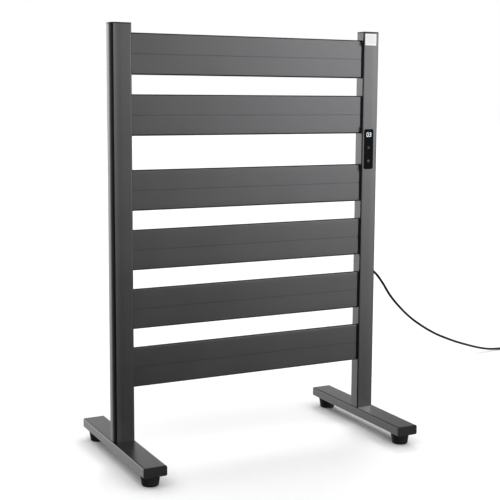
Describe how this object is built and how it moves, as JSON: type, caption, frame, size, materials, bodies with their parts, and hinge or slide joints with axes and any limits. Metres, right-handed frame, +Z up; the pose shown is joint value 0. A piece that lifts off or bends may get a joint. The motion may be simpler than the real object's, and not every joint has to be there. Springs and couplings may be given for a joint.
{
  "type": "towel warmer rack",
  "caption": "Free-standing electric towel warmer rack with flat heated rails between two posts on foot bars, a touch panel and a mains cord.",
  "frame": {"origin": "on the floor, under the middle of the box of the rack without its free cord, coil and plug", "axes": "+X along the rails towards the post with the touch panel, +Y to the back along the foot bars, +Z up"},
  "size_m": [1.426, 0.589, 0.845],
  "materials": {
    "frame_coat": "satin anthracite coat on extruded aluminium",
    "trim_plastic": "fine-grained black moulding",
    "bare_aluminium": "mill finish",
    "heater_sleeve": "red silicone sleeve",
    "black_steel": "black zinc",
    "foot_rubber": "matt black rubber",
    "plated_steel": "zinc plated",
    "panel_gloss": "gloss black window",
    "pale_plastic": "moulded",
    "board_green": "lacquered circuit board",
    "relay_blue": "moulded",
    "lead_silicone": "silicone insulated leads",
    "brass_contact": "bright",
    "cord_jacket": "smooth black flexible jacket",
    "blank_label": "plain white film"
  },
  "bodies": {
    "root": {"left_post": "frame_coat", "right_post": "frame_coat", "left_post_cap": "trim_plastic", "right_post_cap": "trim_plastic", "left_post_base": "bare_aluminium", "right_post_base": "bare_aluminium", "rail_1": "frame_coat", "rail_2": "frame_coat", "rail_3": "frame_coat", "rail_4": "frame_coat", "rail_5": "frame_coat", "rail_6": "frame_coat", "heater_1": "heater_sleeve", "heater_2": "heater_sleeve", "heater_3": "heater_sleeve", "heater_4": "heater_sleeve", "heater_5": "heater_sleeve", "heater_6": "heater_sleeve", "left_joint_tongues": "bare_aluminium", "right_joint_tongues": "bare_aluminium", "left_joint_screws": "black_steel", "right_joint_screws": "black_steel", "left_foot_bar": "frame_coat", "right_foot_bar": "frame_coat", "left_front_end_cap": "trim_plastic", "left_back_end_cap": "trim_plastic", "right_front_end_cap": "trim_plastic", "right_back_end_cap": "trim_plastic", "left_front_rubber_foot": "foot_rubber", "left_back_rubber_foot": "foot_rubber", "right_front_rubber_foot": "foot_rubber", "right_back_rubber_foot": "foot_rubber", "rubber_foot_screws": "plated_steel", "post_bolts": "plated_steel", "panel_lens": "panel_gloss", "panel_tray": "pale_plastic", "control_board": "board_green", "digit_display": "pale_plastic", "touch_springs": "plated_steel", "power_relay": "relay_blue", "terminal_block": "pale_plastic", "thermal_cutoff": "pale_plastic", "temperature_sensor": "trim_plastic", "wiring_harness": "lead_silicone", "supply_lead": "cord_jacket", "earth_ring": "brass_contact", "earth_screw": "plated_steel", "strain_relief": "cord_jacket", "rating_label": "blank_label", "power_cord": "cord_jacket", "cord_coil": "cord_jacket", "cord_tie": "trim_plastic", "plug_body": "cord_jacket", "plug_pins": "brass_contact"}
  },
  "joints": []
}
